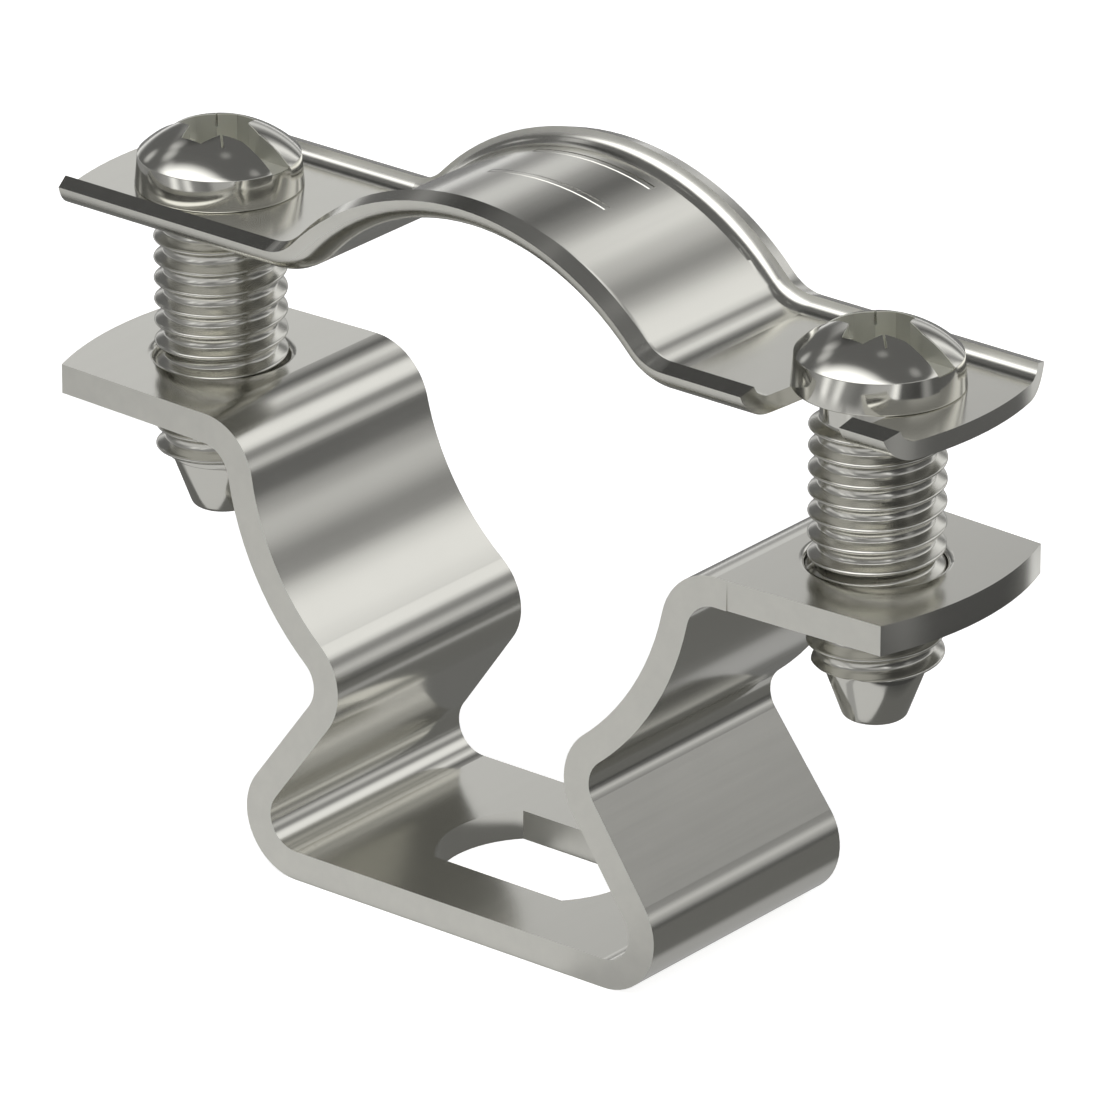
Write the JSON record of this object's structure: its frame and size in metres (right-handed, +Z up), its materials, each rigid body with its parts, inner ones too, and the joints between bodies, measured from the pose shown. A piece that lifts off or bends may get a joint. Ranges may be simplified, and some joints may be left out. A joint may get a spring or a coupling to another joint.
{
  "type": "pipe saddle clamp",
  "caption": "Pipe saddle clamp: a bent strip foot with a round seat and a fastening slot, closed by a dished arched strap on screws.",
  "frame": {"origin": "Centre of the foot's underside, midway between the two screws, on the plane that the foot rests on.", "axes": "+X runs along the clamp from the closed-hole screw to the slotted-hole screw, +Y runs along the pipe away from the open side of the swing slot, +Z points up from the foot to the strap."},
  "size_m": [0.048, 0.0132, 0.0343],
  "materials": {
    "bracket_steel": "plain rolled stainless strip, light warm grey",
    "strap_steel": "plain rolled stainless sheet, light warm grey",
    "screw_steel": "smooth bright stainless"
  },
  "bodies": {
    "bracket": {"lower_bracket": "bracket_steel"},
    "strap": {"saddle_strap": "strap_steel"},
    "screw_left": {"left_screw": "screw_steel"},
    "screw_right": {"right_screw": "screw_steel"}
  },
  "joints": [
    {"name": "strap_travel", "type": "slide", "parent": "bracket", "child": "strap", "axis": [0, 0, 1], "range_m": [-0.0072, 0.003]},
    {"name": "left_screw_turn", "type": "hinge", "parent": "strap", "child": "screw_left", "pos_m": [-0.01845, 0, 0.02], "axis": [0, 0, 1], "range_deg": [-2596, 1084]},
    {"name": "right_screw_turn", "type": "hinge", "parent": "strap", "child": "screw_right", "pos_m": [0.01845, 0, 0.02], "axis": [0, 0, 1], "range_deg": [-2596, 1084]}
  ],
  "couplings": [
    {"joint": "left_screw_turn", "follows": "strap_travel", "rad_per_m": 6283.2},
    {"joint": "right_screw_turn", "follows": "strap_travel", "rad_per_m": 6283.2}
  ]
}
